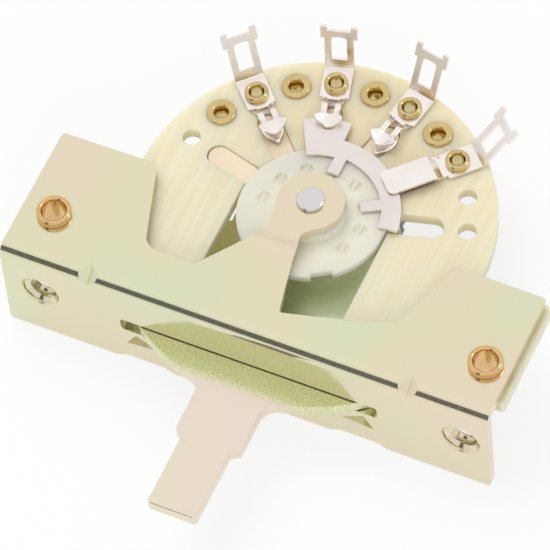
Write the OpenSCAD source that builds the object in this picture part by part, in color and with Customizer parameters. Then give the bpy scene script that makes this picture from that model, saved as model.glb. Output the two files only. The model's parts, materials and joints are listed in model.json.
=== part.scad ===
// Lever selector switch for an electric guitar's pickups.
// The origin lies midway between the two screw holes, on the front face of the bracket.
// +X runs along the bracket, +Y goes back from its front face, and +Z is up.

/* [Bracket] */
// Distance between the two mounting screws
screw_spacing = 41.275; // [40.5:0.005:43]
// Length of the folded bracket
bracket_len = 47.6; // [46.6:0.1:52]
// Thickness of the bracket's sheet steel
sheet_t = 0.9; // [0.8:0.05:1.1]
// Height of the flange's top above the screws
flange_rise = 5.3; // [5.1:0.05:7]
// Depth of the front plate's lower edge below the screws
plate_drop = 6.1; // [5.8:0.1:8]
// Radius on the outside of the fold
fold_r = 1.2; // [1.2:0.1:2]
// Reach from the front face to the back edge of the arms
arm_reach = 13.5; // [12.8:0.05:14.5]
// Depth of the screws' tapped collars behind the plate
collar_len = 0.9; // [0.6:0.1:1.1]
// Diameter of the screw thread's root
screw_d = 3.5; // [3.4:0.05:3.7]
// Wall round the screw thread
collar_wall = 0.55; // [0.4:0.05:0.8]

/* [Tongue and pivot] */
// Reach from the front face to the pivot's axis
pivot_reach = 14.6; // [14.2:0.05:15.2]
// Radius of the tongue's round end
tongue_r = 3.15; // [2.9:0.05:3.6]
// Height of the tongue above the flange
tongue_rise = 0.9; // [0.6:0.05:1.2]
// Diameter of the pivot rivet's shank
rivet_d = 1.9; // [1.6:0.1:2.2]
// Diameter of the rivet's upper head
rivet_head_d = 2.6; // [2.4:0.1:3]
// Height of the rivet's upper head
rivet_head_h = 0.42; // [0.4:0.02:0.9]

/* [Lever] */
// Thickness of the lever
lever_t = 1.2; // [1:0.05:1.3]
// Height of the slot in the front plate
slot_h = 1.54; // [1.5:0.02:1.8]
// Length of the slot in the front plate
slot_len = 25.2; // [25:0.1:27]
// Depth of the slot's middle below the screws
slot_drop = 0.45; // [0.3:0.05:0.5]
// Radius of the lever's front arc, about the pivot
lever_r = 18.1; // [17.4:0.1:18.2]
// Reach of the lever's tip in front of the plate
tip_reach = 16.3; // [14:0.05:20]
// Width of the lever's neck
neck_w = 6.4; // [6:0.1:6.6]
// Width of the lever's tip, where the knob goes on
tip_w = 4.75; // [4.2:0.05:5.4]
// Length of the narrow tip
tip_len = 7.6; // [6:0.05:9]
// Angle from one switch position to the next
throw = 30; // [28:1:30]

/* [Detent] */
// Radius of the lever's cam, behind the pivot
cam_r = 7.8; // [7.4:0.1:8.2]
// Depth of the cam's notches
notch_depth = 0.5; // [0.3:0.05:0.7]
// Diameter of the detent roller
roller_d = 2.4; // [2.2:0.1:2.8]
// Outside diameter of the detent spring
spring_d = 1.9; // [1.7:0.1:2]
// Diameter of the spring's wire
wire_d = 0.42; // [0.3:0.02:0.5]
// Distance from one turn of the spring to the next
spring_pitch = 1; // [0.8:0.05:1.4]

/* [Wafer] */
// Thickness of the wafer
wafer_t = 1.3; // [1.1:0.05:1.4]
// Radius of the wafer about the pivot
wafer_r = 16.75; // [16.5:0.05:18]
// Height of the spacers that hold the wafer under the bracket's arms
spacer_h = 0.45; // [0.45:0.05:1.3]
// Radius of the circle of terminal holes
hole_circle_r = 14.1; // [14:0.05:14.4]
// Diameter of the terminal holes
hole_d = 1.7; // [1.5:0.05:1.8]
// Radius of the window that the rotor turns in
window_r = 7.1; // [7:0.05:7.4]
// Width of the slots over the lower contacts
finger_slot_w = 2.2; // [2:0.05:2.4]

/* [Rotor and blades] */
// Radius of the rotor
rotor_r = 6.85; // [6.6:0.05:6.9]
// Thickness of the blades
blade_t = 0.34; // [0.3:0.02:0.5]
// Gap between the wafer and each blade
blade_gap = 0.34; // [0.34:0.02:0.9]
// Outer radius of the blades' rings
ring_r = 8.05; // [7.7:0.05:8.3]
// Width of the blades' rings
ring_w = 1.8; // [1.5:0.05:1.9]
// Reach of the blades' teeth from the pivot
tooth_r = 10.05; // [9.9:0.05:10.4]
// Angle that each tooth covers
tooth_angle = 26; // [20:0.5:27]

/* [Terminals] */
// Thickness of the terminals' sheet brass
terminal_t = 0.3; // [0.2:0.02:0.34]
// Width of the terminals
terminal_w = 2.7; // [2.5:0.05:2.8]
// Radius at which the solder lugs are bent up
lug_r = 16.35; // [16:0.05:16.6]
// Angle of the solder lugs to the wafer
lug_angle = 72; // [60:1:80]
// Height of a solder lug to the top of its bar
lug_h = 4.4; // [4:0.1:5.5]
// Width of a lug's window
lug_window_w = 1.44; // [1.2:0.02:1.6]
// Height of a lug's window
lug_window_h = 2.8; // [2.4:0.1:3]
// Width over a lug's two ears
lug_ear_w = 3.4; // [3:0.05:3.6]
// Running gap between a contact and its blade
contact_gap = 0.06; // [0.04:0.01:0.1]

/* [Eyelets] */
// Diameter of the arm eyelets' rolled heads
arm_eyelet_d = 3.2; // [3:0.02:3.6]
// Diameter of the hole through an arm eyelet
arm_eyelet_bore = 2.2; // [2:0.05:2.3]
// Height of the arm eyelets' rolled heads
arm_eyelet_h = 0.8; // [0.6:0.05:1]
// Diameter of the terminal eyelets' rolled heads
eyelet_d = 2.24; // [2.1:0.02:2.5]
// Diameter of the terminal eyelets' flat flanges
eyelet_flange_d = 2.72; // [2.4:0.02:2.8]
// Diameter of the hole through a terminal eyelet
eyelet_bore = 1.3; // [1.1:0.05:1.34]
// Height of the terminal eyelets' rolled heads
eyelet_h = 0.55; // [0.5:0.05:0.85]

/* [Hidden] */

$fn = 48;
arc_steps = 6;
cut = 1;
lap = 0.01;

// Clearances between pieces
press_gap = 0.02;
running_gap = 0.05;
lift_gap = 0.08;

// Levels, from the flange down
flange_top = flange_rise;
flange_low = flange_top - sheet_t;
fold_line = flange_top - fold_r;
tongue_top = flange_top + tongue_rise;
tongue_low = tongue_top - sheet_t;
wafer_top = flange_low - spacer_h;
wafer_low = wafer_top - wafer_t;
plate_low = -plate_drop;
lever_top = lever_t / 2 - slot_drop;
lever_low = lever_top - lever_t;
blade_low = wafer_top + blade_gap;
blade_top = blade_low + blade_t;
under_blade_top = wafer_low - blade_gap;
under_blade_low = under_blade_top - blade_t;

// Places on the bracket
screw_x = screw_spacing / 2;
screw_r = screw_d / 2;
collar_r = screw_r + collar_wall;
collar_root = 0.1;
end_shift = 0.4;
left_end = -bracket_len / 2 - end_shift;
right_end = bracket_len / 2 - end_shift;
arm_eyelet_x = bracket_len / 2 - 2.7;
arm_eyelet_y = 5.15;
arm_shank_r = arm_eyelet_bore / 2 + 0.2;
wafer_setback = 0.8;
wafer_front = sheet_t + collar_len + wafer_setback;
wafer_overhang = 0.05;
wafer_w = bracket_len + 2 * wafer_overhang;
cutout_x = 12.1;
cutout_y = 6.65;
arm_tip_x = 14.8;
strip_x = 7.2;
strip_y = 5.05;
tongue_run = 5.6;
tongue_bend = pivot_reach - tongue_run;
tongue_right = 0.75;
tongue_left = -4.2;
dart_x = 15.6;
dart_w = 0.62;
dart_depth = 0.33;
dart_reach = 0.4;
slot_corner_r = 0.35;

// Lanced teeth below the slot's ends
lance_x = 10.95;
lance_inner = 8.9;
lance_outer = 12.2;
lance_z = plate_low + 2.85;
lance_peak = -slot_drop - slot_h / 2 - 0.5;
lance_depth = sheet_t + 0.25;
lance_grow = 0.3;

// Angles of the terminals about the pivot, clockwise from +Y
hole_step = 15;
upper_angles = [-3, -1, 1, 3] * hole_step;
lower_angles = [-4, -2, 0, 2] * hole_step;
finger_shift = -hole_step;
fork_r = 12.3;
finger_slot_r = 12;

// Lean of each upper lug from the common angle, and its turn about its eyelet
upper_leans = [-10, 7, -8, -24];
upper_turns = [0, 0, -4.5, -0.5];

// Leaves of the contacts
leaf_t = terminal_t * 0.85;
leaf_root = fork_r + 0.3;
over_blade = blade_gap + blade_t + contact_gap;
under_blade = blade_gap - contact_gap;
leaf_knee = 10.6;
leaf_half = 1.05;

// Rotor
rotor_disc_t = 0.85;
core_r = 5.1;
boss_r = 4.75;
boss_angles = [-90:30:120];

// Detent
rest_r = cam_r + roller_d / 2 + lift_gap;
groove_r = roller_d / 4;
spring_r = spring_d / 2;
spring_z = lever_low - 2 * running_gap - 0.2 - spring_r;
roller_low = spring_z - spring_r - 0.15;

// The spring's middle line: straight from each lanced tooth, and round behind the roller
spring_back = rest_r + groove_r + spring_r + running_gap;
spring_turn_r = 5.2;
spring_centre = [0, pivot_reach + spring_back - spring_turn_r];
spring_start = [lance_x, lance_depth + sheet_t + wire_d / 2 + lift_gap];
spring_reach = norm(spring_start - spring_centre);
spring_straight = sqrt(spring_reach * spring_reach - spring_turn_r * spring_turn_r);
spring_lean = atan2(spring_start.x - spring_centre.x, spring_centre.y - spring_start.y)
    - asin(spring_turn_r / spring_reach);
spring_bend = 180 - 2 * spring_lean;
spring_arc_len = spring_turn_r * spring_bend * PI / 180;
spring_len = 2 * spring_straight + spring_arc_len;

// A corner point's two coordinates
function flat(p) = [p[0], p[1]];

// A vector of length one
function unit(v) = v / norm(v);

// Direction of an angle measured clockwise from +Y
function heading(a) = [sin(a), cos(a)];

// A point turned clockwise about the origin
function turned(p, a) = [p.x * cos(a) + p.y * sin(a), p.y * cos(a) - p.x * sin(a)];

// Points on an arc of headings about a centre
function arc(centre, r, from, to) =
    [for (i = [0:arc_steps * 2]) centre + r * heading(from + (to - from) * i / (arc_steps * 2))];

// The arc that rounds one corner of an outline
function corner(before, at, after, r) =
    let (
        back = unit(before - at),
        ahead = unit(after - at),
        half = acos(back * ahead) / 2,
        middle = at + unit(back + ahead) * r / sin(half),
        start = at + back * r / tan(half) - middle,
        first = atan2(start.y, start.x),
        sweep = (180 - 2 * half) * sign(cross(at - before, after - at))
    )
    [for (i = [0:arc_steps])
        let (a = first + sweep * i / arc_steps)
        middle + r * [cos(a), sin(a)]];

// An outline through corners [x, y] or [x, y, radius]
function rounded(p) =
    [for (i = [0:len(p) - 1])
        let (n = len(p), at = flat(p[i]))
        each (len(p[i]) < 3 ? [at] : corner(flat(p[(i + n - 1) % n]), at, flat(p[(i + 1) % n]), p[i][2]))];

// The outline of a bent strip of thickness t along a line of points
function ribbon(p, t) =
    let (
        last = len(p) - 1,
        side = [for (i = [0:last])
            let (d = unit(p[min(i + 1, last)] - p[max(i - 1, 0)]))
            [-d.y, d.x] * t / 2]
    )
    concat([for (i = [0:last]) p[i] + side[i]], [for (i = [last:-1:0]) p[i] - side[i]]);

// Moves its children to an angle and radius about the pivot
module about_pivot(a, r = 0) {
    translate([0, pivot_reach, 0])
        rotate([0, 0, -a])
            translate([0, r, 0])
                children();
}

// Extrudes an outline of [y, z] points along X
module along_x(length) {
    translate([-length / 2, 0, 0])
        rotate([90, 0, 90])
            linear_extrude(length)
                children();
}

// Extrudes an outline of [x, z] points along Y, from y = 0
module along_y(length) {
    translate([0, length, 0])
        rotate([90, 0, 0])
            linear_extrude(length)
                children();
}

// A wedge of headings, for cutting rings
module wedge(from, to, r) {
    polygon(concat([[0, 0]], arc([0, 0], r, from, to)));
}

// A ring's stretch between two headings
module ring_arc(inner, outer, from, to) {
    intersection() {
        difference() {
            circle(outer);
            circle(inner);
        }
        wedge(from, to, outer * 1.5);
    }
}

// Front plate, seen from the front, with its lower edge relieved under the lanced teeth
module plate_outline() {
    relief = 0.55;
    relief_r = 0.9;
    corner_r = 0.4;
    dip = [[lance_inner - 1.2, plate_low], [lance_inner - 0.2, plate_low + relief],
        [lance_outer + 0.2, plate_low + relief], [lance_outer + 1.2, plate_low]];
    right_dip = [for (p = dip) [p.x, p.y, relief_r]];
    left_dip = [for (i = [len(dip) - 1:-1:0]) [-dip[i].x, dip[i].y, relief_r]];
    ends = [[right_end, plate_low, corner_r], [right_end, fold_line], [left_end, fold_line],
        [left_end, plate_low, corner_r]];
    polygon(rounded(concat(right_dip, ends, left_dip)));
}

// Flange seen from above, up to the line where the tongue is bent
module flange_outline() {
    end_r = 0.35;
    tip_r = 1.4;
    inner_r = 1.6;
    polygon(rounded([
        [left_end, fold_r],
        [left_end, arm_reach, end_r],
        [-arm_tip_x, arm_reach + 0.1, tip_r],
        [-cutout_x, cutout_y - 1.5, inner_r],
        [-strip_x, strip_y, 0.5],
        [tongue_left, tongue_bend],
        [tongue_right, tongue_bend],
        [tongue_right + 1.2, strip_y - 1.8, 0.25],
        [strip_x + 0.2, strip_y - 0.45, 2],
        [cutout_x, cutout_y - 0.6, inner_r],
        [arm_tip_x, arm_reach + 0.1, tip_r],
        [right_end, arm_reach, end_r],
        [right_end, fold_r],
    ]));
}

// Tongue seen from above, from its bend to the round end
module tongue_outline() {
    centre = [0, pivot_reach];
    polygon(rounded(concat(
        [
            [tongue_right, tongue_bend - lap],
            [tongue_left, tongue_bend - lap],
            [-2.5, pivot_reach - 3.3, 1.2],
        ],
        arc(centre, tongue_r, -122, 156),
        [[tongue_right - 0.1, pivot_reach - 3.6, 0.6]])));
}

// Side view of the tongue's sheet, which rises from the flange
module tongue_profile() {
    run = 2.1;
    steps = arc_steps * 2;
    rise = [for (i = [0:steps])
        let (s = i / steps)
        [tongue_bend + run * s, flange_top + tongue_rise * (1 - cos(180 * s)) / 2]];
    top = concat([[tongue_bend - lap, flange_top]], rise, [[pivot_reach + tongue_r + cut, tongue_top]]);
    polygon(concat(top, [for (i = [len(top) - 1:-1:0]) top[i] - [0, sheet_t]]));
}

// The bend between the front plate and the flange
module fold() {
    translate([-end_shift, fold_r, fold_line])
        along_x(bracket_len)
            intersection() {
                difference() {
                    circle(fold_r);
                    circle(fold_r - sheet_t);
                }
                translate([-fold_r, 0])
                    square(fold_r);
            }
}

// A pressed dart across the fold: kind 0 is the groove outside, kind 1 the ridge inside
module dart(kind) {
    run = norm([fold_r + dart_reach, fold_r]);
    lean = atan2(fold_r, fold_r + dart_reach);
    skin = 0.15;
    translate([0, 0, fold_line])
        rotate([lean, 0, 0])
            along_y(run)
                if (kind == 0) {
                    polygon(3 * [[0, 0], [dart_w, dart_depth], [-dart_w, dart_depth]]);
                } else {
                    polygon([[0, -sheet_t], [2 * dart_w, -skin], [-2 * dart_w, -skin]]);
                }
}

// A lanced tooth's pyramid, from its base in the plane y to its tip
module lance(base_y, tip_y, grow) {
    polyhedron(
        points = [
            [lance_inner - grow, base_y, lance_z + 0.2],
            [lance_outer + grow, base_y, lance_z - 0.15],
            [lance_x + 0.25, base_y, lance_peak + grow],
            [lance_x, tip_y, lance_z],
        ],
        faces = [[0, 2, 1], [0, 1, 3], [1, 2, 3], [2, 0, 3]]);
}

module bracket() {
    color("lemonchiffon")
        difference() {
            union() {
                along_y(sheet_t)
                    plate_outline();
                fold();
                translate([0, 0, flange_low])
                    linear_extrude(sheet_t)
                        flange_outline();
                intersection() {
                    along_x(2 * arm_tip_x)
                        tongue_profile();
                    linear_extrude(tongue_top + cut)
                        tongue_outline();
                }
                for (side = [-1, 1]) {
                    translate([side * screw_x, sheet_t - collar_root, 0])
                        rotate([-90, 0, 0])
                            cylinder(collar_len + collar_root, collar_r + collar_root, collar_r);
                    translate([side * dart_x, 0, 0])
                        dart(1);
                }
                lance(sheet_t - press_gap, lance_depth + sheet_t, lance_grow);
                mirror([1, 0, 0])
                    lance(sheet_t - press_gap, lance_depth + sheet_t, lance_grow);
            }
            for (side = [-1, 1]) {
                translate([side * screw_x, -cut, 0])
                    rotate([-90, 0, 0])
                        cylinder(h = sheet_t + collar_len + 2 * cut, r = screw_r);
                translate([side * arm_eyelet_x, arm_eyelet_y, flange_low - cut])
                    cylinder(h = sheet_t + 2 * cut, r = arm_shank_r + press_gap);
                translate([side * dart_x, 0, 0])
                    dart(0);
            }
            lance(-press_gap, lance_depth, 0);
            mirror([1, 0, 0])
                lance(-press_gap, lance_depth, 0);
            translate([0, -cut, -slot_drop])
                along_y(sheet_t + 2 * cut)
                    slot_outline();
            translate([0, pivot_reach, tongue_low - cut])
                cylinder(h = sheet_t + 2 * cut, r = rivet_d / 2 + press_gap);
        }
}

// Opening of the slot that the lever comes through
module slot_outline() {
    x = slot_len / 2;
    z = slot_h / 2;
    r = slot_corner_r;
    polygon(rounded([[-x, -z, r], [x, -z, r], [x, z, r], [-x, z, r]]));
}

// An eyelet turned from its flat flange at z = 0 up to its rolled head
module eyelet(bore_r, shank_r, flange_r, flange_t, grip, head_r, head_h) {
    lip = min(0.2, flange_t * 0.6);
    edge = 0.1;
    roll = (head_r - bore_r) / 2;
    head_low = flange_t + grip;
    head_top = head_low + head_h;
    mid = [bore_r + roll, head_top - roll];
    crown = [for (i = [0:arc_steps * 2]) mid + roll * [-cos(i * 90 / arc_steps), sin(i * 90 / arc_steps)]];
    rotate_extrude()
        polygon(concat(
            [
                [bore_r + lip, 0],
                [flange_r - edge, 0],
                [flange_r, edge],
                [flange_r, flange_t],
                [shank_r, flange_t],
                [shank_r, head_low],
                [head_r - edge, head_low],
                [head_r, head_low + edge],
            ],
            [for (i = [len(crown) - 1:-1:0]) crown[i]],
            [[bore_r, lip]]));
}

module wafer_eyelet(side) {
    foot_t = 0.3;
    color("peru")
        translate([side * arm_eyelet_x, arm_eyelet_y, wafer_low - foot_t])
            eyelet(arm_eyelet_bore / 2, arm_shank_r, arm_eyelet_d / 2 + 0.15, foot_t,
                flange_top - wafer_low, arm_eyelet_d / 2, arm_eyelet_h);
}

module spacer(side) {
    color("tan")
        translate([side * arm_eyelet_x, arm_eyelet_y, wafer_top])
            difference() {
                cylinder(h = spacer_h, r = arm_shank_r + 1.1);
                translate([0, 0, -cut])
                    cylinder(h = spacer_h + 2 * cut, r = arm_shank_r + press_gap);
            }
}

module pivot_rivet() {
    shank_r = rivet_d / 2;
    head_r = rivet_head_d / 2;
    foot_r = shank_r + 0.85;
    foot_top = lever_low - running_gap;
    color("silver")
        translate([0, pivot_reach, 0])
            rotate_extrude()
                polygon(rounded([
                    [0, foot_top - 0.55],
                    [foot_r, foot_top - 0.55, 0.3],
                    [foot_r, foot_top],
                    [shank_r, foot_top],
                    [shank_r, tongue_top],
                    [head_r - 0.12, tongue_top],
                    [head_r, tongue_top + 0.14],
                    [head_r, tongue_top + rivet_head_h, 0.22],
                    [0, tongue_top + rivet_head_h],
                ]));
}

// Wafer seen from above, about the pivot
module wafer_outline() {
    front = wafer_front - pivot_reach;
    ear_back = -0.9;
    half = wafer_w / 2;
    ear_r = 0.3;
    difference() {
        union() {
            intersection() {
                circle(wafer_r);
                translate([-wafer_r, front])
                    square([2 * wafer_r, wafer_r - front]);
            }
            polygon(rounded([
                [-half, front, ear_r],
                [half, front, ear_r],
                [half, ear_back, ear_r],
                [-half, ear_back, ear_r],
            ]));
        }
        circle(window_r);
        translate([-window_r, front - cut])
            square([2 * window_r, cut - front]);
        for (a = [-5:2:5])
            rotate(-a * hole_step) {
                translate([-finger_slot_w / 2, 0])
                    square([finger_slot_w, finger_slot_r - finger_slot_w / 2]);
                translate([0, finger_slot_r - finger_slot_w / 2])
                    circle(finger_slot_w / 2);
            }
        for (a = [-5:5])
            translate(hole_circle_r * heading(a * hole_step))
                circle(hole_d / 2);
        for (side = [-1, 1])
            translate([side * arm_eyelet_x, arm_eyelet_y - pivot_reach])
                circle(arm_shank_r + press_gap);
    }
}

module wafer() {
    color("palegoldenrod")
        translate([0, pivot_reach, wafer_low])
            linear_extrude(wafer_t)
                wafer_outline();
}

// The lever's wing, neck and tip seen from above, about the pivot
module wing_outline() {
    neck = neck_w / 2;
    tip = tip_w / 2;
    tip_end = -pivot_reach - tip_reach;
    shoulder = tip_end + tip_len;
    fillet = 1.5;
    neck_top = -sqrt(lever_r * lever_r - neck * neck);
    arc_start = asin((neck + fillet * 1.5) / lever_r);
    half_wing = 74;
    wing_root = [cam_r - 0.1, -1];
    polygon(rounded(concat(
        [
            [neck, neck_top, fillet],
            [neck, shoulder + 0.25, 0.45],
            [tip, shoulder - 0.25, 0.25],
            [tip, tip_end, 0.35],
            [-tip, tip_end, 0.35],
            [-tip, shoulder - 0.25, 0.25],
            [-neck, shoulder + 0.25, 0.45],
            [-neck, neck_top, fillet],
        ],
        arc([0, 0], lever_r, 180 + arc_start, 180 + half_wing),
        [[-wing_root.x, wing_root.y], wing_root],
        arc([0, 0], lever_r, 180 - half_wing, 180 - arc_start))));
}

module lever() {
    color("antiquewhite")
        translate([0, pivot_reach, lever_low])
            difference() {
                union() {
                    linear_extrude(lever_t)
                        wing_outline();
                    cylinder(h = lever_t, r = cam_r);
                }
                translate([0, 0, -cut])
                    cylinder(h = lever_t + 2 * cut, r = rivet_d / 2 + running_gap);
                for (a = [-1, 0, 1])
                    translate([sin(a * throw), cos(a * throw), 0] * (rest_r - notch_depth) - [0, 0, cut])
                        cylinder(h = lever_t + 2 * cut, r = roller_d / 2 + running_gap);
            }
}

module rotor() {
    hub_r = tongue_r + 0.12;
    foot_r = 4.2;
    boss_half = 0.6;
    boss_depth = 0.25;
    rib = 0.12;
    notch_w = 2;
    color("whitesmoke")
        difference() {
            translate([0, pivot_reach, 0]) {
                translate([0, 0, blade_low - rotor_disc_t])
                    cylinder(h = rotor_disc_t, r = rotor_r);
                translate([0, 0, under_blade_top])
                    cylinder(h = blade_low - under_blade_top, r = core_r);
                translate([0, 0, lever_top])
                    cylinder(h = under_blade_top - lever_top, r = foot_r);
                translate([0, 0, blade_low])
                    cylinder(h = tongue_low - running_gap - blade_low, r = hub_r);
            }
            translate([0, pivot_reach, lever_top - cut])
                cylinder(h = tongue_low - lever_top + 2 * cut, r = rivet_d / 2 + running_gap);
            for (a = boss_angles)
                about_pivot(a, boss_r)
                    rotate([0, 0, a])
                        translate([0, 0, blade_low - boss_depth])
                            linear_extrude(boss_depth + cut)
                                difference() {
                                    circle(boss_half);
                                    square([2 * rib, 3 * boss_half], center = true);
                                }
            about_pivot(148.5, rotor_r)
                translate([-notch_w / 2, -0.45, blade_low - rotor_disc_t - cut])
                    cube([notch_w, 2, rotor_disc_t + 2 * cut]);
        }
}

// A blade seen from above: a stretch of ring with one tooth and two hooks
module blade_outline() {
    inner = ring_r - ring_w;
    tooth_mid = -hole_step - 0.6;
    tooth_from = tooth_mid - tooth_angle / 2;
    hook_w = 1.1;
    hook_r = 4.4;
    ring_arc(inner, ring_r, tooth_from + 1.5, 84.3);
    ring_arc(inner - 0.15, tooth_r, tooth_from, tooth_mid + tooth_angle / 2);
    for (a = [1, 62])
        rotate(-a)
            translate([-hook_w / 2, hook_r])
                square([hook_w, inner - hook_r + 0.5]);
}

module upper_blade() {
    color("gainsboro")
        translate([0, pivot_reach, blade_low])
            linear_extrude(blade_t)
                blade_outline();
}

module lower_blade() {
    color("gainsboro")
        translate([0, pivot_reach, under_blade_low])
            rotate([0, 0, -2 * finger_shift])
                linear_extrude(blade_t)
                    blade_outline();
}

// The roller that drops into the cam's notches, with a groove below for the spring
module detent_roller() {
    r = roller_d / 2;
    skirt_r = r + 0.4;
    skirt_top = lever_low - running_gap;
    skirt_low = spring_z + spring_r + running_gap;
    color("goldenrod")
        translate([0, pivot_reach + rest_r, 0])
            rotate_extrude()
                polygon([
                    [0, roller_low - 0.2],
                    [skirt_r, roller_low - 0.2],
                    [skirt_r, roller_low],
                    [groove_r, roller_low],
                    [groove_r, skirt_low],
                    [skirt_r, skirt_low],
                    [skirt_r, skirt_top],
                    [r, skirt_top],
                    [r, lever_top - 0.1],
                    [r - 0.1, lever_top],
                    [0, lever_top],
                ]);
}

// Heading along the spring, from its left end to its right one, at a distance s
function spring_way(s) =
    -spring_bend / 2 + 90 + spring_bend * min(1, max(0, (s - spring_straight) / spring_arc_len));

// Point on the spring's middle line at a distance s
function spring_mid(s) =
    s < spring_straight ? [-spring_start.x, spring_start.y] + s * heading(spring_way(0)) :
    s > spring_len - spring_straight ? spring_start - (spring_len - s) * heading(spring_way(spring_len)) :
    spring_centre + spring_turn_r * heading(spring_way(s) - 90);

// Point on the wire after a number of turns
function wire_mid(turns) =
    let (
        s = turns * spring_pitch,
        side = heading(spring_way(s) + 90),
        r = spring_r - wire_d / 2
    )
    [spring_mid(s).x + r * cos(360 * turns) * side.x, spring_mid(s).y + r * cos(360 * turns) * side.y,
        spring_z + r * sin(360 * turns)];

module detent_spring() {
    sides = 5;
    per_turn = 8;
    rings = floor(spring_len / spring_pitch * per_turn);
    points = [for (i = [0:rings])
        let (
            here = wire_mid(i / per_turn),
            along = unit(wire_mid((i + 0.2) / per_turn) - wire_mid((i - 0.2) / per_turn)),
            across = unit(cross(along, [0, 0.01, 1])),
            up = cross(across, along)
        )
        for (k = [0:sides - 1])
            here + wire_d / 2 * (cos(k * 360 / sides) * across + sin(k * 360 / sides) * up)];
    tube = [for (i = [0:rings - 1], k = [0:sides - 1])
        let (n = (k + 1) % sides, near = i * sides, far = near + sides)
        each [[near + k, near + n, far + n], [near + k, far + n, far + k]]];
    first = [[for (k = [sides - 1:-1:0]) k]];
    last = [[for (k = [0:sides - 1]) rings * sides + k]];
    color("dimgray")
        polyhedron(points = points, faces = concat(tube, first, last), convexity = 10);
}

// Side view of a contact's upper leaf, from the fork's root to its tip, with z = 0 on the wafer
function leaf_line(root_r, end_r, end_z, hump) =
    [for (i = [0:arc_steps + 2])
        let (s = i / (arc_steps + 2), root_z = terminal_t / 2)
        [root_r + (end_r - root_r) * s, root_z + (end_z - root_z) * s + hump * sin(180 * s)]];

// Solder lug with a window and two ears, flat, standing along +Y
module lug_outline() {
    half = terminal_w / 2;
    ear = lug_ear_w / 2;
    ear_low = lug_h - 0.9;
    ear_top = lug_h + 0.5;
    ear_in = ear - 0.6;
    window = lug_window_w / 2;
    window_low = 0.87;
    difference() {
        polygon([
            [-half, 0],
            [half, 0],
            [half, ear_low],
            [ear, ear_low],
            [ear, ear_top],
            [ear_in, ear_top],
            [ear_in, lug_h],
            [-ear_in, lug_h],
            [-ear_in, ear_top],
            [-ear, ear_top],
            [-ear, ear_low],
            [-half, ear_low],
        ]);
        polygon(rounded([
            [-window, window_low, 0.12],
            [window, window_low, 0.12],
            [window, window_low + lug_window_h, 0.35],
            [-window, window_low + lug_window_h, 0.35],
        ]));
    }
}

// Flat strip under the eyelet with the lug bent up at its outer end, radial along +Y, z = 0 on the wafer
module strip_and_lug(angle) {
    bend_in = 0.15;
    bend_out = bend_in + terminal_t;
    half = terminal_w / 2;
    neck = half - 0.3;
    flat_end = lug_r - bend_out;
    step_r = fork_r + 0.45;
    sector = 3 * bend_out;
    difference() {
        linear_extrude(terminal_t)
            polygon([[-half, flat_end + lap], [-half, step_r], [-neck, step_r], [-neck, fork_r],
                [neck, fork_r], [neck, step_r], [half, step_r], [half, flat_end + lap]]);
        translate([0, hole_circle_r, -cut])
            cylinder(h = terminal_t + 2 * cut, r = hole_d / 2);
    }
    translate([0, flat_end, bend_out])
        along_x(terminal_w)
            intersection() {
                difference() {
                    circle(bend_out);
                    circle(bend_in);
                }
                polygon(sector * [[0, 0], [0, -1], [tan(angle / 2), -1], [sin(angle), -cos(angle)]]);
            }
    translate([0, flat_end, bend_out])
        rotate([angle, 0, 0])
            translate([0, -lap, -bend_out])
                linear_extrude(terminal_t)
                    lug_outline();
}

// Clip that wipes a tooth: two arched legs to a winged tip above, and a leaf below
module clip() {
    trough_r = 1.7;
    trough_wing = 0.5;
    leg_w = 0.5;
    leg_x = 0.85;
    tip_in = 8.95;
    tip_out = 10.3;
    tip_half = 1.35;
    bill = 0.5;
    arch = 0.35;
    leg_end_z = over_blade + leaf_t / 2 + trough_r - sqrt(trough_r * trough_r - leg_x * leg_x);
    for (side = [-1, 1])
        translate([side * leg_x, 0, 0])
            along_x(leg_w)
                polygon(ribbon(leaf_line(leaf_root, tip_out - 0.15, leg_end_z, arch), leaf_t));
    intersection() {
        translate([0, tip_in, over_blade + trough_r])
            rotate([-90, 0, 0])
                difference() {
                    cylinder(h = tip_out - tip_in, r = trough_r);
                    translate([0, 0, -cut])
                        cylinder(h = tip_out - tip_in + 2 * cut, r = trough_r - leaf_t);
                }
        linear_extrude(over_blade + trough_wing)
            polygon(rounded([
                [-tip_half, tip_out, 0.2],
                [-tip_half, tip_in + 0.6, 0.35],
                [-bill, tip_in, 0.4],
                [bill, tip_in, 0.4],
                [tip_half, tip_in + 0.6, 0.35],
                [tip_half, tip_out, 0.2],
            ]));
    }
    lower_leaf(9.9, 8.9);
}

// The leaf of a contact that runs under the blade, to a rounded or pointed tip
module lower_leaf(shoulder_r, tip_r) {
    low = leaf_t / 2;
    high = under_blade - leaf_t / 2;
    intersection() {
        along_x(2 * leaf_half)
            polygon(ribbon([
                [leaf_root, low],
                [fork_r - 0.4, low],
                [leaf_knee, high],
                [tip_r, high],
            ], leaf_t));
        linear_extrude(blade_gap)
            polygon(rounded([
                [-leaf_half, leaf_root + 0.1],
                [-leaf_half, shoulder_r, 0.4],
                [0, tip_r, 0.3],
                [leaf_half, shoulder_r, 0.4],
                [leaf_half, leaf_root + 0.1],
            ]));
    }
}

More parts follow.
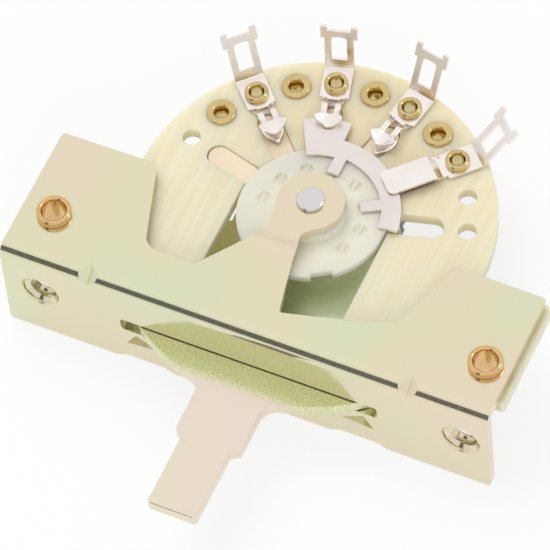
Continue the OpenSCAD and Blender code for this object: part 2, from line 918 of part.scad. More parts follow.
// Long leaves of the common terminal, which stay on the ring
module long_leaves() {
    tip_in = 7;
    wide = 1.3;
    high = over_blade + leaf_t / 2;
    shoulder_r = fork_r - 0.35;
    intersection() {
        along_x(2 * wide)
            polygon(ribbon([
                [leaf_root, leaf_t / 2],
                [fork_r, leaf_t / 2],
                [fork_r - 0.7, high],
                [tip_in + 0.5, high],
                [tip_in, high + contact_gap],
            ], leaf_t));
        linear_extrude(over_blade + 1)
            polygon(rounded([
                [-leaf_half, leaf_root + 0.2],
                [-leaf_half, shoulder_r],
                [-wide, shoulder_r],
                [-wide, tip_in, 0.6],
                [wide, tip_in, 0.6],
                [wide, shoulder_r],
                [leaf_half, shoulder_r],
                [leaf_half, leaf_root + 0.2],
            ]));
    }
    translate([-0.35, 0, 0])
        lower_leaf(7.6, 6.95);
}

// Flat crank that carries a lower contact over to the slot beside its eyelet
module crank() {
    half = terminal_w / 2;
    root = fork_r + 0.8;
    end = fork_r - 0.35;
    over = [for (x = [-leaf_half, leaf_half]) turned([x, end], finger_shift)];
    linear_extrude(terminal_t)
        polygon(concat([[half, root], [-half, root]], over));
}

// A terminal on its heading: the contact is shifted sideways by an angle
module terminal(shift, common, angle) {
    strip_and_lug(angle);
    if (shift != 0)
        crank();
    rotate([0, 0, -shift])
        if (common)
            long_leaves();
        else
            clip();
}

module upper_terminal(i) {
    color("mistyrose")
        about_pivot(upper_angles[i], hole_circle_r)
            rotate([0, 0, -upper_turns[i]])
                translate([0, -hole_circle_r, wafer_top])
                    terminal(0, i == 3, lug_angle + upper_leans[i]);
}

module lower_terminal(i) {
    color("mistyrose")
        about_pivot(lower_angles[i])
            translate([0, 0, wafer_low])
                mirror([0, 0, 1])
                    terminal(finger_shift, i == 3, lug_angle);
}

// An eyelet that clamps a terminal, with its flat flange at z = 0
module terminal_eyelet() {
    flange_t = 0.3;
    color("gold")
        translate([0, 0, -flange_t])
            eyelet(eyelet_bore / 2, hole_d / 2 - press_gap, eyelet_flange_d / 2, flange_t,
                wafer_t + terminal_t, eyelet_d / 2, eyelet_h);
}

module upper_eyelet(i) {
    about_pivot(upper_angles[i], hole_circle_r)
        translate([0, 0, wafer_low])
            terminal_eyelet();
}

module lower_eyelet(i) {
    about_pivot(lower_angles[i], hole_circle_r)
        translate([0, 0, wafer_top])
            mirror([0, 0, 1])
                terminal_eyelet();
}

bracket();
wafer();
spacer(-1);  // left_spacer
spacer(1);  // right_spacer
wafer_eyelet(-1);  // left_wafer_eyelet
wafer_eyelet(1);  // right_wafer_eyelet
pivot_rivet();
lever();
rotor();
upper_blade();
lower_blade();
detent_roller();
detent_spring();
upper_terminal(0);  // upper_terminal_1
upper_terminal(1);  // upper_terminal_2
upper_terminal(2);  // upper_terminal_3
upper_terminal(3);  // upper_terminal_4
upper_eyelet(0);  // upper_eyelet_1
upper_eyelet(1);  // upper_eyelet_2
upper_eyelet(2);  // upper_eyelet_3
upper_eyelet(3);  // upper_eyelet_4
lower_terminal(0);  // lower_terminal_1
lower_terminal(1);  // lower_terminal_2
lower_terminal(2);  // lower_terminal_3
lower_terminal(3);  // lower_terminal_4
lower_eyelet(0);  // lower_eyelet_1
lower_eyelet(1);  // lower_eyelet_2
lower_eyelet(2);  // lower_eyelet_3
lower_eyelet(3);  // lower_eyelet_4
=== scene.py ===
import json
import math

import bmesh
import bpy
from mathutils import Matrix, Vector


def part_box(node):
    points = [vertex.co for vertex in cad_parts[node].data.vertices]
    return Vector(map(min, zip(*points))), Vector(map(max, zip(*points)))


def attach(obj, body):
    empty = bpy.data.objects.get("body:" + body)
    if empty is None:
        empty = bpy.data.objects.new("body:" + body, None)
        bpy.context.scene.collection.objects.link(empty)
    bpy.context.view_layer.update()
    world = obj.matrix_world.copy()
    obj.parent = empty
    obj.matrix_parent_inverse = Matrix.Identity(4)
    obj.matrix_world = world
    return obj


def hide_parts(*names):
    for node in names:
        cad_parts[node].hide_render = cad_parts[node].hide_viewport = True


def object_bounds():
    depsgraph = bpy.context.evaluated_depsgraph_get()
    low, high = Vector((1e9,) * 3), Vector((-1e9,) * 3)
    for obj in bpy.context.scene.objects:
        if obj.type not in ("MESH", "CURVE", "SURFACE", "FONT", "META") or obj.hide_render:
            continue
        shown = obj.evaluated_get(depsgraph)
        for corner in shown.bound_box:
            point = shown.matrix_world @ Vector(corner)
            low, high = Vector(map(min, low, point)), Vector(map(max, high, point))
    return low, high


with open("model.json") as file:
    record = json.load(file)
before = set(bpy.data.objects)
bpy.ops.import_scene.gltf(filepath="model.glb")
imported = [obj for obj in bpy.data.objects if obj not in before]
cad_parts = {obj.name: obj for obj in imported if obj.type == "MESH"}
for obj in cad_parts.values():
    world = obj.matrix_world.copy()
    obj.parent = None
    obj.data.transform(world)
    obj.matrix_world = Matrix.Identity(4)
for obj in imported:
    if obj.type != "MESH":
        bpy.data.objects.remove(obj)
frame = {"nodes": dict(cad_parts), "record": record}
cad_low, cad_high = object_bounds()

# Camera. It stands half a metre off, above the front and a little to the right, with a long lens.
# Its place and turn were fitted to the screw holes, the eyelets and the bracket's corners in the photograph.
mm = 0.001
camera_place = Vector((144.8, -247.7, 454.2)) * mm
camera_turn = [math.radians(angle) for angle in (32.948, 3.447, 24.346)]
camera_data = bpy.data.cameras.new("camera")
camera_data.sensor_width = 36
camera_data.lens = 393.9
camera = bpy.data.objects.new("camera", camera_data)
bpy.context.scene.collection.objects.link(camera)
camera.location = camera_place
camera.rotation_euler = camera_turn
bpy.context.scene.camera = camera
bpy.context.scene.view_settings.view_transform = "Standard"


# Studio. A white room lights the metal, with one dark card in front that the fold picks up as a line.
# A large soft lamp stands over the switch, and one fills from the front right.
# A small third lamp gives the metal its highlights and nothing else.
def area_lamp(name, place, size, power):
    """A square soft lamp that faces the pivot."""
    pivot_place = Vector((0, 14.6, 5)) * mm
    data = bpy.data.lights.new(name, "AREA")
    data.size = size
    data.energy = power
    lamp = bpy.data.objects.new(name, data)
    bpy.context.scene.collection.objects.link(lamp)
    lamp.location = place
    lamp.rotation_euler = (Vector(place) - pivot_place).to_track_quat("Z", "Y").to_euler()
    lamp.visible_glossy = False
    return lamp


area_lamp("key_lamp", (-0.25, 0.15, 0.6), 0.5, 2.2)
area_lamp("fill_lamp", (0.3, -0.5, 0.25), 0.4, 1.3)
sparkle = area_lamp("sparkle_lamp", (0.35, 0.3, 0.5), 0.11, 0.45)
sparkle.visible_glossy = True
sparkle.visible_diffuse = False

room_level = 0.6
room_low = (0.7, 0.71, 0.69, 1)
room_side = (0.9, 0.9, 0.89, 1)
white = (1, 1, 1, 1)
card_shade = (0.008, 0.018, 0.016, 1)
card_foot = (0.04, 0.1)
card_head = (0.70, 0.75)
card_front = 0.25
card_middle_x = -0.28
card_half_width = 0.14
world = bpy.data.worlds.new("studio")
bpy.context.scene.world = world
world.use_nodes = True
tree = world.node_tree
tree.nodes.clear()
rays = tree.nodes.new("ShaderNodeLightPath")
direction = tree.nodes.new("ShaderNodeTexCoord")
parts = tree.nodes.new("ShaderNodeSeparateXYZ")
tree.links.new(direction.outputs["Generated"], parts.inputs["Vector"])


def math_node(tree, operation, first, second=None, third=None):
    """The result of a Math node, whose inputs are sockets or numbers."""
    made = tree.nodes.new("ShaderNodeMath")
    made.operation = operation
    for socket, value in zip(made.inputs, (first, second, third)):
        if value is None:
            continue
        if isinstance(value, (int, float)):
            socket.default_value = value
        else:
            tree.links.new(value, socket)
    return made.outputs[0]


def mix_colours(tree, factor, first, second):
    """A colour that goes from first to second as factor rises. Both are sockets or colours."""
    made = tree.nodes.new("ShaderNodeMix")
    made.data_type = "RGBA"
    tree.links.new(factor, made.inputs["Factor"])
    for socket, value in ((made.inputs[6], first), (made.inputs[7], second)):
        if isinstance(value, tuple):
            socket.default_value = value
        else:
            tree.links.new(value, socket)
    return made.outputs[2]


height_ramp = tree.nodes.new("ShaderNodeValToRGB")
height_ramp.color_ramp.elements[0].position = 0.0
height_ramp.color_ramp.elements[0].color = room_low
height_ramp.color_ramp.elements[1].position = 1.0
height_ramp.color_ramp.elements[1].color = white
sky_height = height_ramp.color_ramp.elements.new(0.62)
sky_height.color = room_side
tree.links.new(math_node(tree, "MULTIPLY_ADD", parts.outputs["Z"], 0.5, 0.5), height_ramp.inputs["Fac"])

card_height = tree.nodes.new("ShaderNodeValToRGB")
card_height.color_ramp.interpolation = "EASE"
card_height.color_ramp.elements[0].position = card_foot[0]
card_height.color_ramp.elements[0].color = (0, 0, 0, 1)
card_height.color_ramp.elements[1].position = card_foot[1]
card_height.color_ramp.elements[1].color = white
card_height.color_ramp.elements.new(card_head[0]).color = white
card_height.color_ramp.elements.new(card_head[1]).color = (0, 0, 0, 1)
tree.links.new(parts.outputs["Z"], card_height.inputs["Fac"])
in_front = math_node(tree, "GREATER_THAN", math_node(tree, "MULTIPLY", parts.outputs["Y"], -1), card_front)
off_middle = math_node(tree, "ABSOLUTE", math_node(tree, "SUBTRACT", parts.outputs["X"], card_middle_x))
across_card = math_node(tree, "LESS_THAN", off_middle, card_half_width)
card_up = math_node(tree, "MULTIPLY", card_height.outputs["Color"], in_front)
card = math_node(tree, "MULTIPLY", card_up, across_card)

room_colour = mix_colours(tree, card, height_ramp.outputs["Color"], card_shade)

seen_room = tree.nodes.new("ShaderNodeBackground")
tree.links.new(room_colour, seen_room.inputs["Color"])
soft_room = tree.nodes.new("ShaderNodeBackground")
soft_room.inputs["Color"].default_value = white
soft_room.inputs["Strength"].default_value = room_level
white_room = tree.nodes.new("ShaderNodeBackground")
white_room.inputs["Color"].default_value = white
mirror_mix = tree.nodes.new("ShaderNodeMixShader")
tree.links.new(rays.outputs["Is Glossy Ray"], mirror_mix.inputs["Fac"])
tree.links.new(soft_room.outputs[0], mirror_mix.inputs[1])
tree.links.new(seen_room.outputs[0], mirror_mix.inputs[2])
camera_mix = tree.nodes.new("ShaderNodeMixShader")
see_white = math_node(tree, "MAXIMUM", rays.outputs["Is Camera Ray"], rays.outputs["Is Transmission Ray"])
tree.links.new(see_white, camera_mix.inputs["Fac"])
tree.links.new(mirror_mix.outputs[0], camera_mix.inputs[1])
tree.links.new(white_room.outputs[0], camera_mix.inputs[2])
world_out = tree.nodes.new("ShaderNodeOutputWorld")
tree.links.new(camera_mix.outputs[0], world_out.inputs["Surface"])

# Floor. The switch leans on the front plate's lower edge and on the lowest piece behind it.
# The floor slopes to pass just under both, and is pale enough to run into the white background.
plate_back = 0.9 * mm
floor_drop = 0.02 * mm
floor_reach = 0.32
floor_glow = 0.8
slopes = []
for node in frame["nodes"]:
    piece_low, piece_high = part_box(node)
    if node not in ("bracket", "lever"):
        slopes.append((piece_low.z - cad_low.z) / (piece_high.y - plate_back))
floor_slope = math.atan(min(slopes))
floor_place = (0, plate_back, cad_low.z - floor_drop)
bpy.ops.object.select_all(action="DESELECT")
bpy.ops.mesh.primitive_circle_add(
    vertices=96, radius=floor_reach, fill_type="NGON", location=floor_place, rotation=(floor_slope, 0, 0))
floor = bpy.context.object
floor.name = "floor"
floor_paint = bpy.data.materials.new("floor_paint")
floor_paint.use_nodes = True
tree = floor_paint.node_tree
tree.nodes.clear()
rays = tree.nodes.new("ShaderNodeLightPath")
paint = tree.nodes.new("ShaderNodeBsdfDiffuse")
paint.inputs["Color"].default_value = (0.9, 0.9, 0.9, 1)
glow = tree.nodes.new("ShaderNodeEmission")
mirrored = math_node(tree, "MAXIMUM", rays.outputs["Is Glossy Ray"], rays.outputs["Is Transmission Ray"])
seen = math_node(tree, "MAXIMUM", rays.outputs["Is Camera Ray"], mirrored)
mix = tree.nodes.new("ShaderNodeMixShader")
tree.links.new(math_node(tree, "MULTIPLY", seen, floor_glow), mix.inputs["Fac"])
tree.links.new(paint.outputs[0], mix.inputs[1])
tree.links.new(glow.outputs[0], mix.inputs[2])
surface = tree.nodes.new("ShaderNodeOutputMaterial")
tree.links.new(mix.outputs[0], surface.inputs["Surface"])
floor.data.materials.append(floor_paint)


# Bracket. One sheet of steel, blanked, pierced, tapped and folded, then zinc plated with a pale passivate.
# The plating is a fine even grain, and its film shifts from straw to faint pink and green.
cad_nodes = frame["nodes"]
merge_reach = 0.002 * mm
flat_angle = math.radians(0.6)
rim_angle = math.radians(40)
bevel_angle = math.radians(28)


def hold(piece):
    """Makes a piece the only selected and active object."""
    bpy.ops.object.select_all(action="DESELECT")
    piece.select_set(True)
    bpy.context.view_layer.objects.active = piece


def merged_copy(name, node):
    """A copy of a CAD node with its loose triangles merged and its flat faces joined."""
    piece = bpy.data.objects.new(name, cad_nodes[node].data.copy())
    bpy.context.scene.collection.objects.link(piece)
    hold(piece)
    bpy.ops.mesh.customdata_custom_splitnormals_clear()
    bpy.ops.object.mode_set(mode="EDIT")
    bpy.ops.mesh.select_all(action="SELECT")
    bpy.ops.mesh.remove_doubles(threshold=merge_reach)
    bpy.ops.mesh.dissolve_limited(angle_limit=flat_angle)
    bpy.ops.object.mode_set(mode="OBJECT")
    return piece


def round_rim(piece, chosen, reach):
    """Rounds the edges of which both ends are chosen."""
    hold(piece)
    bpy.ops.object.mode_set(mode="EDIT")
    bpy.ops.mesh.select_all(action="DESELECT")
    mesh = bmesh.from_edit_mesh(piece.data)
    for edge in mesh.edges:
        sharp = len(edge.link_faces) == 2 and edge.calc_face_angle() > rim_angle
        edge.select_set(sharp and all(chosen(corner.co) for corner in edge.verts))
    bmesh.update_edit_mesh(piece.data)
    bpy.ops.mesh.bevel(offset=reach * mm, segments=4, affect="EDGES")
    bpy.ops.object.mode_set(mode="OBJECT")


def finish_piece(piece, node, body, material, edge=0, segments=3, smooth=24):
    """Rounds the edges, gives the material and puts the piece in its node's place."""
    hold(piece)
    if edge:
        bevel = piece.modifiers.new("edges", "BEVEL")
        bevel.width = edge * mm
        bevel.segments = segments
        bevel.limit_method = "ANGLE"
        bevel.angle_limit = bevel_angle
        bpy.ops.object.modifier_apply(modifier="edges")
    bpy.ops.object.shade_smooth_by_angle(angle=math.radians(smooth))
    weights = piece.modifiers.new("weights", "WEIGHTED_NORMAL")
    weights.weight = 100
    weights.keep_sharp = True
    bpy.ops.object.modifier_apply(modifier="weights")
    piece.data.materials.clear()
    piece.data.materials.append(material)
    if node:
        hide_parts(node)
    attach(piece, body)


def new_finish(name):
    """A new material with a Principled shader: the material, its tree and the shader."""
    material = bpy.data.materials.new(name)
    material.use_nodes = True
    shader = material.node_tree.nodes["Principled BSDF"]
    return material, material.node_tree, shader


def noise(tree, scale, detail, stretch=(1, 1, 1)):
    """Noise on the object's own coordinates, as a socket from 0 to 1."""
    place = tree.nodes.new("ShaderNodeTexCoord")
    fit = tree.nodes.new("ShaderNodeMapping")
    fit.inputs["Scale"].default_value = stretch
    texture = tree.nodes.new("ShaderNodeTexNoise")
    texture.inputs["Scale"].default_value = scale
    texture.inputs["Detail"].default_value = detail
    tree.links.new(place.outputs["Object"], fit.inputs["Vector"])
    tree.links.new(fit.outputs["Vector"], texture.inputs["Vector"])
    return texture.outputs["Fac"]


def ramp(tree, factor, stops):
    """A colour ramp with stops of (position, colour)."""
    made = tree.nodes.new("ShaderNodeValToRGB")
    elements = made.color_ramp.elements
    while len(elements) < len(stops):
        elements.new(0.5)
    for element, (position, colour) in zip(elements, stops):
        element.position = position
        element.color = (*colour, 1)
    tree.links.new(factor, made.inputs["Fac"])
    return made.outputs["Color"]


def paint_from(tree, shader, factor, stops):
    """Gives the shader the colours of a ramp."""
    tree.links.new(ramp(tree, factor, stops), shader.inputs["Base Color"])


def bump(tree, shader, height, distance, strength):
    """Gives the shader a bump of this distance in millimetres."""
    made = tree.nodes.new("ShaderNodeBump")
    made.inputs["Strength"].default_value = strength
    made.inputs["Distance"].default_value = distance * mm
    tree.links.new(height, made.inputs["Height"])
    tree.links.new(made.outputs["Normal"], shader.inputs["Normal"])


def plated_finish(name, film, roughness_low, roughness_high):
    """Passivated zinc plate: a film that drifts between colours, over a fine grain."""
    material, tree, shader = new_finish(name)
    shader.inputs["Metallic"].default_value = 0.88
    paint_from(tree, shader, noise(tree, 70, 2), film)
    grain = noise(tree, 4200, 4)
    rough = ramp(tree, grain, [(0.3, (roughness_low,) * 3), (0.7, (roughness_high,) * 3)])
    tree.links.new(rough, shader.inputs["Roughness"])
    bump(tree, shader, grain, 0.0012, 0.5)
    return material


straw = (0.76, 0.71, 0.50)
pale_green = (0.71, 0.73, 0.51)
pale_pink = (0.79, 0.69, 0.52)
zinc_plate = plated_finish("zinc_plate", [(0.35, pale_green), (0.5, straw), (0.65, pale_pink)], 0.11, 0.19)
screw_x = frame["record"]["mounts"][0]["dims"]["spacing_x_mm"] / 2 * mm
screw_r = frame["record"]["mounts"][0]["dims"]["hole_r_mm"] * mm
bracket_sheet = merged_copy("bracket_sheet", "bracket")


def on_screw_mouth(corner):
    """Whether a point lies on the front rim of a screw hole."""
    off_axis = math.hypot(abs(corner.x) - screw_x, corner.z)
    return abs(corner.y) < 0.01 * mm and abs(off_axis - screw_r) < 0.03 * mm


round_rim(bracket_sheet, on_screw_mouth, 0.3)
finish_piece(bracket_sheet, "bracket", "frame", zinc_plate, 0.07, smooth=16)

# Screw threads. The two holes are tapped 6-32: a fine ridge runs round each wall, from mouth to collar.
# One ridge is drawn as a small triangle and wound along the hole.
thread_pitch = 0.794 * mm
thread_minor_r = 1.4 * mm
thread_low = 0.4 * mm
thread_high = 1.45 * mm
ridge_reach = screw_r - thread_minor_r
ridge_profile = ((0, 0), (1.1, 0.44), (1.1, -0.44))
for side, sign in (("left", -1), ("right", 1)):
    bpy.ops.object.select_all(action="DESELECT")
    bpy.ops.mesh.primitive_circle_add(
        vertices=3, radius=ridge_reach, fill_type="NOTHING", rotation=(0, math.pi / 2, 0))
    thread = bpy.context.object
    thread.name = f"{side}_screw_thread"
    bpy.ops.object.transform_apply(location=False, rotation=True, scale=False)
    for corner, (out, along) in zip(thread.data.vertices, ridge_profile):
        corner.co = (thread_minor_r + out * ridge_reach, 0, along * thread_pitch)
    winding = thread.modifiers.new("winding", "SCREW")
    winding.angle = 2 * math.pi * (thread_high - thread_low) / thread_pitch
    winding.screw_offset = thread_high - thread_low
    winding.steps = winding.render_steps = 80
    bpy.ops.object.modifier_apply(modifier="winding")
    bpy.ops.object.mode_set(mode="EDIT")
    bpy.ops.mesh.select_all(action="SELECT")
    bpy.ops.transform.translate(value=(0, 0, thread_low))
    bpy.ops.mesh.fill_holes(sides=4)
    bpy.ops.mesh.select_all(action="SELECT")
    bpy.ops.mesh.normals_make_consistent(inside=False)
    bpy.ops.object.mode_set(mode="OBJECT")
    thread.rotation_euler = (-math.pi / 2, 0, 0)
    thread.location = (sign * screw_x, 0, 0)
    bpy.ops.object.transform_apply(location=True, rotation=True, scale=True)
    finish_piece(thread, None, "frame", zinc_plate, smooth=30)

# Wafer. A blank of translucent laminate, pierced and clamped under the arms.
# Faint lines of the cloth inside run back to front, and it shows warmer round the terminals.
warm_shift = (-0.1, -1.5, 0)
warm_scale = (60, 60, 0)
wafer_board, tree, shader = new_finish("wafer_board")
shader.inputs["Roughness"].default_value = 0.42
shader.inputs["Subsurface Weight"].default_value = 0.8
shader.inputs["Subsurface Radius"].default_value = (2.6 * mm, 2.0 * mm, 1.2 * mm)
shader.inputs["Subsurface Scale"].default_value = 1.0
cloth = noise(tree, 460, 3, (3.5, 0.2, 1))
cool_board = ramp(tree, cloth, [(0.3, (0.77, 0.71, 0.52)), (0.7, (0.82, 0.765, 0.59))])
warm_board = ramp(tree, cloth, [(0.3, (0.81, 0.655, 0.42)), (0.7, (0.84, 0.70, 0.48))])
place = tree.nodes.new("ShaderNodeTexCoord")
centre = tree.nodes.new("ShaderNodeMapping")
centre.inputs["Location"].default_value = warm_shift
centre.inputs["Scale"].default_value = warm_scale
glow = tree.nodes.new("ShaderNodeTexGradient")
glow.gradient_type = "SPHERICAL"
tree.links.new(place.outputs["Object"], centre.inputs["Vector"])
tree.links.new(centre.outputs["Vector"], glow.inputs["Vector"])
board_colour = mix_colours(tree, glow.outputs["Fac"], cool_board, warm_board)
tree.links.new(board_colour, shader.inputs["Base Color"])
wafer_sheet = merged_copy("wafer_sheet", "wafer")
finish_piece(wafer_sheet, "wafer", "frame", wafer_board, 0.05, 2)

# Spacers. Fibre washers between the arms and the wafer.
# The arms' eyelets run through them and clamp them tight.
spacer_fibre, tree, shader = new_finish("spacer_fibre")
shader.inputs["Roughness"].default_value = 0.7
paint_from(tree, shader, noise(tree, 900, 4), [(0.35, (0.50, 0.38, 0.20)), (0.65, (0.62, 0.50, 0.30))])
for side in ("left", "right"):
    washer = merged_copy(f"{side}_fibre_washer", f"{side}_spacer")
    finish_piece(washer, f"{side}_spacer", "frame", spacer_fibre, 0.05, 2)

# Lever. Blanked from thicker steel and plated like the bracket, with a pinker film.
# The part of it in the slot and behind has a coarse grain coloured green as a painted reflection. Further in
# it turns paler green, painted light from the lit rotor above it.
lever_film = [(0.35, (0.78, 0.74, 0.57)), (0.5, (0.81, 0.72, 0.58)), (0.65, (0.82, 0.70, 0.60))]
lever_plate = plated_finish("lever_plate", lever_film, 0.16, 0.26)
# Painted reflection: behind the first line the lever is coloured green. Between the second pair it turns
# paler green as painted light.
reflection_start, reflection_full = -3.0 * mm, -2.2 * mm
inner_light_start, inner_light_full = 0.5 * mm, 4.0 * mm
painted_inner_light = (0.84, 0.92, 0.66, 1)
tree = lever_plate.node_tree
shader = tree.nodes["Principled BSDF"]
pink_film = shader.inputs["Base Color"].links[0].from_socket
place = tree.nodes.new("ShaderNodeTexCoord")
axes = tree.nodes.new("ShaderNodeSeparateXYZ")
tree.links.new(place.outputs["Object"], axes.inputs["Vector"])
painted_reflection_part = tree.nodes.new("ShaderNodeMapRange")
painted_reflection_part.inputs["From Min"].default_value = reflection_start
painted_reflection_part.inputs["From Max"].default_value = reflection_full
tree.links.new(axes.outputs["Y"], painted_reflection_part.inputs["Value"])
inward_light_part = tree.nodes.new("ShaderNodeMapRange")
inward_light_part.inputs["From Min"].default_value = inner_light_start
inward_light_part.inputs["From Max"].default_value = inner_light_full
tree.links.new(axes.outputs["Y"], inward_light_part.inputs["Value"])
# The green of this grain is a painted reflection, and the pale green further in is painted light.
green_reflection_grain = ramp(tree, noise(tree, 6000, 3), [(0.35, (0.58, 0.61, 0.32)), (0.65, (0.84, 0.84, 0.55))])
painted_green_reflection = mix_colours(tree, inward_light_part.outputs["Result"], green_reflection_grain, painted_inner_light)
film_and_painted_reflection = mix_colours(tree, painted_reflection_part.outputs["Result"], pink_film, painted_green_reflection)
tree.links.new(film_and_painted_reflection, shader.inputs["Base Color"])
finish_piece(merged_copy("lever_sheet", "lever"), "lever", "lever", lever_plate, 0.12)

# Rotor. Moulded in milky nylon, thin enough for some light to pass through.
# It turns with the lever on the rivet and carries the blades.
rotor_nylon, tree, shader = new_finish("rotor_nylon")
paint_from(tree, shader, noise(tree, 160, 2), [(0.35, (1.0, 0.96, 0.80)), (0.65, (1.0, 0.92, 0.74))])
shader.inputs["Roughness"].default_value = 0.36
shader.inputs["Subsurface Weight"].default_value = 1
shader.inputs["Subsurface Radius"].default_value = (2.0 * mm, 2.2 * mm, 2.6 * mm)
shader.inputs["Subsurface Scale"].default_value = 1.0
shader.inputs["Transmission Weight"].default_value = 0.1
finish_piece(merged_copy("rotor_mould", "rotor"), "rotor", "lever", rotor_nylon, 0.1)

# Blades. Spring brass rings, silver plated, and hooked over the rotor's rim.
# The teeth come under the terminals' clips as the rotor turns.
silver_contact, tree, shader = new_finish("silver_contact")
shader.inputs["Metallic"].default_value = 1
shader.inputs["Roughness"].default_value = 0.3
paint_from(tree, shader, noise(tree, 300, 3), [(0.3, (0.82, 0.74, 0.70)), (0.7, (0.87, 0.81, 0.78))])
bump(tree, shader, noise(tree, 1800, 3), 0.001, 0.4)
for node in ("upper_blade", "lower_blade"):
    finish_piece(merged_copy(node + "_ring", node), node, "lever", silver_contact, 0.04, 2)

# Terminals. Stamped from the same silvered brass: a strip under its eyelet, with a solder lug bent up.
# At the inner end a clip of two arched legs and a winged bill wipes the blade, over a pointed leaf.
wafer_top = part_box("wafer")[1].z
pivot = Vector(frame["record"]["behaviour"]["joints"][0]["pos_m"])
clip_root = 12.45 * mm
clip_tip = 8.95 * mm
leaf_thickness = 0.22 * mm


def trimmed_strip(node, angle, keep_out):
    """A merged copy of a terminal without the part of it that lies nearer the pivot than keep_out."""
    strip = merged_copy(node + "_strip", node)
    outward = Vector((math.sin(angle), math.cos(angle), 0))
    bpy.ops.object.mode_set(mode="EDIT")
    bpy.ops.mesh.select_all(action="SELECT")
    bpy.ops.mesh.bisect(
        plane_co=pivot + outward * keep_out, plane_no=outward, use_fill=True, clear_inner=True)
    bpy.ops.object.mode_set(mode="OBJECT")
    return strip


def leaf_grid(name, steps, across, shape, opening=None):
    """A thin leaf bent from a grid. Shape gives the point at (s, t), opening says which cells are cut out."""
    bpy.ops.object.select_all(action="DESELECT")
    bpy.ops.mesh.primitive_grid_add(x_subdivisions=across, y_subdivisions=steps, size=2)
    leaf = bpy.context.object
    leaf.name = name
    if opening:
        bpy.ops.object.mode_set(mode="EDIT")
        bpy.ops.mesh.select_all(action="DESELECT")
        mesh = bmesh.from_edit_mesh(leaf.data)
        for face in mesh.faces:
            middle = face.calc_center_median()
            face.select_set(opening((middle.y + 1) / 2, middle.x))
        bmesh.update_edit_mesh(leaf.data)
        bpy.ops.mesh.delete(type="FACE")
        bpy.ops.object.mode_set(mode="OBJECT")
    for corner in leaf.data.vertices:
        corner.co = shape((corner.co.y + 1) / 2, corner.co.x)
    thickness = leaf.modifiers.new("thickness", "SOLIDIFY")
    thickness.thickness = leaf_thickness
    thickness.offset = 0
    bpy.ops.object.modifier_apply(modifier="thickness")
    smooth = leaf.modifiers.new("smooth", "SUBSURF")
    smooth.levels = smooth.render_levels = 2
    bpy.ops.object.modifier_apply(modifier="smooth")
    return leaf


def between(stops, s):
    """The value at s on a line of (s, value) stops, eased between them."""
    for (s_low, low), (s_high, high) in zip(stops, stops[1:]):
        if s <= s_high:
            part = (s - s_low) / (s_high - s_low)
            return low + (high - low) * (3 - 2 * part) * part * part
    return stops[-1][1]


bill_half = [(0, 1.1), (0.12, 0.92), (0.45, 0.92), (0.62, 0.86), (0.76, 1.36), (0.87, 1.05), (1, 0.2)]
bill_height = [(0, 0.16), (0.3, 0.96), (0.55, 0.9), (0.8, 0.86), (1, 0.86)]
wing_lift = [(0, 0), (0.45, 0.05), (0.76, 0.6), (1, 0.1)]


def bill_shape(s, t):
    """Upper leaf of a clip, from its root at s = 0 to the tip of its bill at s = 1."""
    rise = between(bill_height, s) + between(wing_lift, s) * t * t
    reach = clip_root + (clip_tip - clip_root) * s
    return Vector((between(bill_half, s) * mm * t, reach, wafer_top + rise * mm))


slot_start, slot_end, slot_half = 0.03, 0.56, 0.3


def between_legs(s, t):
    """The slot that parts a clip's two legs."""
    return slot_start < s < slot_end and abs(t) < slot_half


point_root = 10.9 * mm
point_tip = clip_tip - 0.5 * mm
point_rise = 0.12 * mm
point_half = [(0, 0.9), (0.3, 1.05), (0.55, 0.95), (1, 0.12)]


def point_shape(s, t):
    """Lower leaf of a clip, which slips under the blade and ends in a point."""
    reach = point_root + (point_tip - point_root) * s
    return Vector((between(point_half, s) * mm * t, reach, wafer_top + point_rise))


def turned(angle):
    """A clockwise turn about Z, in degrees, as seen from above."""
    return Matrix.Rotation(math.radians(-angle), 4, "Z")


terminal_silver, tree, shader = new_finish("terminal_silver")
shader.inputs["Metallic"].default_value = 1
shader.inputs["Roughness"].default_value = 0.26
paint_from(tree, shader, noise(tree, 300, 3), [(0.3, (0.91, 0.84, 0.79)), (0.7, (0.96, 0.91, 0.88))])
strip_turns = {1: 0, 2: 0, 3: -4.5}
strip_angles = {1: -45, 2: -15, 3: 15, 4: 45}
eyelet_reach = 14.1 * mm
for number, angle in strip_angles.items():
    node = f"upper_terminal_{number}"
    if number == 4:
        strip = merged_copy(node + "_strip", node)
        finish_piece(strip, node, "frame", terminal_silver, 0.05)
        continue
    strip = trimmed_strip(node, math.radians(angle), clip_root)
    finish_piece(strip, node, "frame", terminal_silver, 0.04)
    bill = leaf_grid(node + "_bill", 16, 9, bill_shape, between_legs)
    point = leaf_grid(node + "_point", 8, 5, point_shape)
    eyelet_place = Matrix.Translation((0, eyelet_reach, 0))
    swing = eyelet_place @ turned(strip_turns[number]) @ eyelet_place.inverted()
    for leaf in (bill, point):
        hold(leaf)
        bpy.ops.object.mode_set(mode="EDIT")
        bpy.ops.mesh.select_all(action="SELECT")
        bpy.ops.mesh.normals_make_consistent(inside=False)
        bpy.ops.object.mode_set(mode="OBJECT")
        leaf.data.transform(Matrix.Translation(pivot) @ turned(angle) @ swing)
        finish_piece(leaf, None, "frame", terminal_silver, smooth=60)
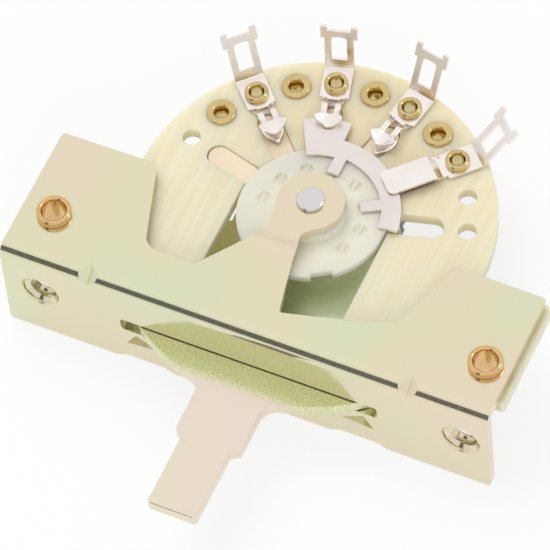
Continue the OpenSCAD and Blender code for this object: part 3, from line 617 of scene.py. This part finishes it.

# Lower terminals. The same stampings, riveted under the wafer for the second pole.
# Their broad fingers fill the wafer's slots. Strips and fingers get a duller, peach-coloured copy of the
# silver: painted shade, with the board's colour painted in as a reflection.
# Painted shade: the same silver, made duller and peach-coloured, for the strips under the wafer and the
# fingers down in its slots.
silver_in_painted_shade, tree, shader = new_finish("silver_in_painted_shade")
shader.inputs["Metallic"].default_value = 0.55
shader.inputs["Roughness"].default_value = 0.5
paint_from(tree, shader, noise(tree, 220, 2), [(0.35, (0.80, 0.66, 0.48)), (0.65, (0.86, 0.74, 0.58))])
finger_outer = 11.85 * mm
finger_inner = 6.95 * mm
finger_half = 1.08 * mm
finger_blunt = 0.3
finger_low = wafer_top - 0.4 * mm
finger_angles = {
    "lower_terminal_1": -75,
    "lower_terminal_2": -45,
    "lower_terminal_3": -15,
    "lower_terminal_4": 15,
    "upper_terminal_4": 45,
}
for node, angle in finger_angles.items():
    if node.startswith("lower"):
        strip = merged_copy(node + "_strip", node)
        finish_piece(strip, node, "frame", silver_in_painted_shade, 0.03, 2)
    bpy.ops.object.select_all(action="DESELECT")
    bpy.ops.mesh.primitive_cylinder_add(vertices=32, radius=finger_half, depth=leaf_thickness)
    finger = bpy.context.object
    finger.name = node + "_finger"
    for corner in finger.data.vertices:
        outer = corner.co.y > -1e-6
        end = finger_outer - finger_half if outer else finger_inner + finger_half * finger_blunt
        corner.co.y = end + corner.co.y * (1 if outer else finger_blunt)
        corner.co.z += finger_low
    finger.data.transform(Matrix.Translation(pivot) @ turned(angle))
    finish_piece(finger, None, "frame", silver_in_painted_shade, 0.03, 2)

# Eyelets. Turned over from thin brass tube, and clinched on what they hold.
# Those of the terminals are yellow, and the two in the arms are coppery.
terminal_eyelets = [f"{side}_eyelet_{number}" for side in ("upper", "lower") for number in range(1, 5)]
arm_eyelets = ["left_wafer_eyelet", "right_wafer_eyelet"]
for slot_name, colour, rough, members in (
    ("eyelet_brass", (0.62, 0.48, 0.22), 0.09, terminal_eyelets),
    ("arm_brass", (0.72, 0.46, 0.20), 0.11, arm_eyelets),
):
    metal, tree, shader = new_finish(slot_name)
    shader.inputs["Metallic"].default_value = 1
    shader.inputs["Roughness"].default_value = rough
    pale = [min(1, part * 1.12) for part in colour]
    paint_from(tree, shader, noise(tree, 700, 3), [(0.35, colour), (0.65, pale)])
    for node in members:
        finish_piece(merged_copy(node + "_tube", node), node, "frame", metal, smooth=85)

# Pivot rivet. Bright steel, with the fine rings that its turning left on the head.
# It is fast in the tongue, and the lever and the rotor turn on it.
rivet_steel, tree, shader = new_finish("rivet_steel")
shader.inputs["Metallic"].default_value = 1
shader.inputs["Base Color"].default_value = (0.72, 0.70, 0.69, 1)
shader.inputs["Roughness"].default_value = 0.24
place = tree.nodes.new("ShaderNodeTexCoord")
centre = tree.nodes.new("ShaderNodeMapping")
centre.inputs["Location"].default_value = (0, -pivot.y, 0)
rings = tree.nodes.new("ShaderNodeTexWave")
rings.wave_type = "RINGS"
rings.rings_direction = "Z"
rings.inputs["Scale"].default_value = 900
rings.inputs["Distortion"].default_value = 0.6
tree.links.new(place.outputs["Object"], centre.inputs["Vector"])
tree.links.new(centre.outputs["Vector"], rings.inputs["Vector"])
bump(tree, shader, rings.outputs["Fac"], 0.003, 0.6)
rivet = merged_copy("turned_rivet", "pivot_rivet")
finish_piece(rivet, "pivot_rivet", "frame", rivet_steel, 0.06, smooth=40)

# Detent. A turned brass roller drops between the lever's lobes.
# A coil spring of dark drawn wire, hooked on the bracket's teeth, lies round behind it and pulls it in.
roller_brass, tree, shader = new_finish("roller_brass")
shader.inputs["Metallic"].default_value = 1
shader.inputs["Roughness"].default_value = 0.2
paint_from(tree, shader, noise(tree, 500, 3), [(0.35, (0.74, 0.54, 0.22)), (0.65, (0.84, 0.66, 0.32))])
roller = merged_copy("turned_roller", "detent_roller")
finish_piece(roller, "detent_roller", "roller", roller_brass, 0.05, smooth=40)
spring_steel, tree, shader = new_finish("spring_steel")
shader.inputs["Metallic"].default_value = 1
shader.inputs["Roughness"].default_value = 0.28
paint_from(tree, shader, noise(tree, 1500, 3), [(0.35, (0.20, 0.20, 0.18)), (0.65, (0.32, 0.31, 0.28))])
spring = merged_copy("wound_spring", "detent_spring")
finish_piece(spring, "detent_spring", "frame", spring_steel, smooth=70)
